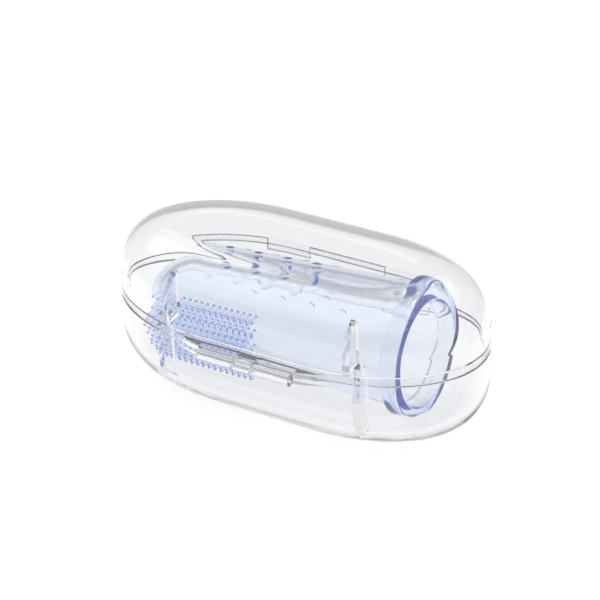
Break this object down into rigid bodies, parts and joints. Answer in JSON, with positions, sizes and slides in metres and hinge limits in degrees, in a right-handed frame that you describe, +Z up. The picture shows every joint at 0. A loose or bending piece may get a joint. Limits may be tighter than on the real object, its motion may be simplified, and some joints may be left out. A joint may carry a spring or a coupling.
{
  "type": "finger toothbrush",
  "caption": "Soft silicone finger-sleeve toothbrush with a side patch of bristles, massage nubs and a collar, stored in a clear rounded case with a hinged lid.",
  "frame": {"origin": "centre of the flat underside of the case", "axes": "+X along the case towards the open end of the brush, -Y towards the hinge, +Z up"},
  "size_m": [0.072, 0.0396, 0.0292],
  "materials": {
    "clear_case": "polished clear plastic",
    "blue_silicone": "translucent silicone",
    "bristle_silicone": "satin silicone"
  },
  "bodies": {
    "base": {"case_base": "clear_case", "hinge_pin": "clear_case"},
    "lid": {"case_lid": "clear_case"},
    "brush": {"finger_sleeve": "blue_silicone", "grip_collar": "blue_silicone", "bristle_pad": "blue_silicone", "bristles": "bristle_silicone", "massage_nubs": "blue_silicone"}
  },
  "joints": [
    {"name": "lid_hinge", "type": "hinge", "parent": "base", "child": "lid", "pos_m": [0, -0.0205, 0.0154], "axis": [1, 0, 0], "range_deg": [0, 150]},
    {"name": "brush_lift", "type": "slide", "parent": "base", "child": "brush", "axis": [0, 0, 1], "range_m": [0, 0.03]}
  ],
  "couplings": [
    {"joint": "brush_lift", "follows": "lid_hinge", "m_per_rad": 0.0114}
  ]
}
